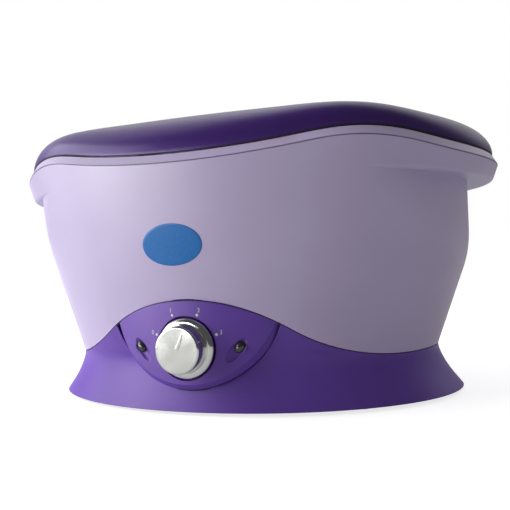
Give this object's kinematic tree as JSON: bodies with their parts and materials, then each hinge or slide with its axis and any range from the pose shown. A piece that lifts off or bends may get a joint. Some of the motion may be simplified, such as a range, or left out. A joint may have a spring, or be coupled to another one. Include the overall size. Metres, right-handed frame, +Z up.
{
  "type": "wax warmer pot",
  "caption": "Oval paraffin bath with a wavy rim, lift-off domed lid, heated tank with lift-out grate, finger recesses and a rotary heat control on a flared base.",
  "frame": {"origin": "on the table, below the middle of the pot", "axes": "+X along the pot's length, +Y to the back (the knob is on the -Y side), +Z up"},
  "size_m": [0.3796, 0.2888, 0.2069],
  "materials": {
    "lavender_plastic": "satin moulded lavender",
    "purple_plastic": "satin moulded purple",
    "smoked_plastic": "polished dark purple",
    "tank_metal": "drawn aluminium",
    "seal_rubber": "moulded rubber",
    "grate_plastic": "moulded",
    "heater_foil": "amber film",
    "felt": "white needle felt",
    "plated_steel": "zinc plated",
    "black_plastic": "moulded black",
    "lens_plastic": "tinted lens",
    "lamp_glass": "clear neon bulb",
    "knob_chrome": "satin plated",
    "white_plastic": "moulded"
  },
  "bodies": {
    "casing": {"body_shell": "lavender_plastic", "rim_ring": "lavender_plastic", "base_skirt": "purple_plastic", "bottom_plate": "purple_plastic", "control_panel": "purple_plastic", "wax_tank": "tank_metal", "flange_gasket": "seal_rubber", "rim_seal": "seal_rubber", "heater_film": "heater_foil", "insulation_pad": "felt", "clamp_plate": "plated_steel", "clamp_studs": "plated_steel", "clamp_nuts": "plated_steel", "thermostat": "black_plastic", "thermal_fuse": "tank_metal", "fuse_clip": "seal_rubber", "lamp_lens_left": "lens_plastic", "lamp_lens_right": "lens_plastic", "indicator_lamp_left": "lamp_glass", "indicator_lamp_right": "lamp_glass", "panel_screws": "plated_steel", "rotary_switch": "black_plastic", "switch_washer": "plated_steel", "switch_nut": "plated_steel", "rubber_feet": "seal_rubber", "case_screws": "plated_steel", "deck_screws": "plated_steel", "cord_gland": "black_plastic", "gland_nut": "black_plastic", "terminal_block": "white_plastic", "terminal_screws": "plated_steel"},
    "cover": {"lid": "smoked_plastic"},
    "grate": {"tank_grate": "grate_plastic"},
    "dial": {"knob": "knob_chrome", "switch_shaft": "plated_steel"}
  },
  "joints": [
    {"name": "lid_lift", "type": "slide", "parent": "casing", "child": "cover", "axis": [0, 0, 1], "range_m": [0, 0.15]},
    {"name": "grate_lift", "type": "slide", "parent": "casing", "child": "grate", "axis": [0, 0, 1], "range_m": [0, 0.08]},
    {"name": "knob_turn", "type": "hinge", "parent": "casing", "child": "dial", "pos_m": [0, -0.1296, 0.0437], "axis": [0, -1, 0], "range_deg": [-45, 90]}
  ]
}
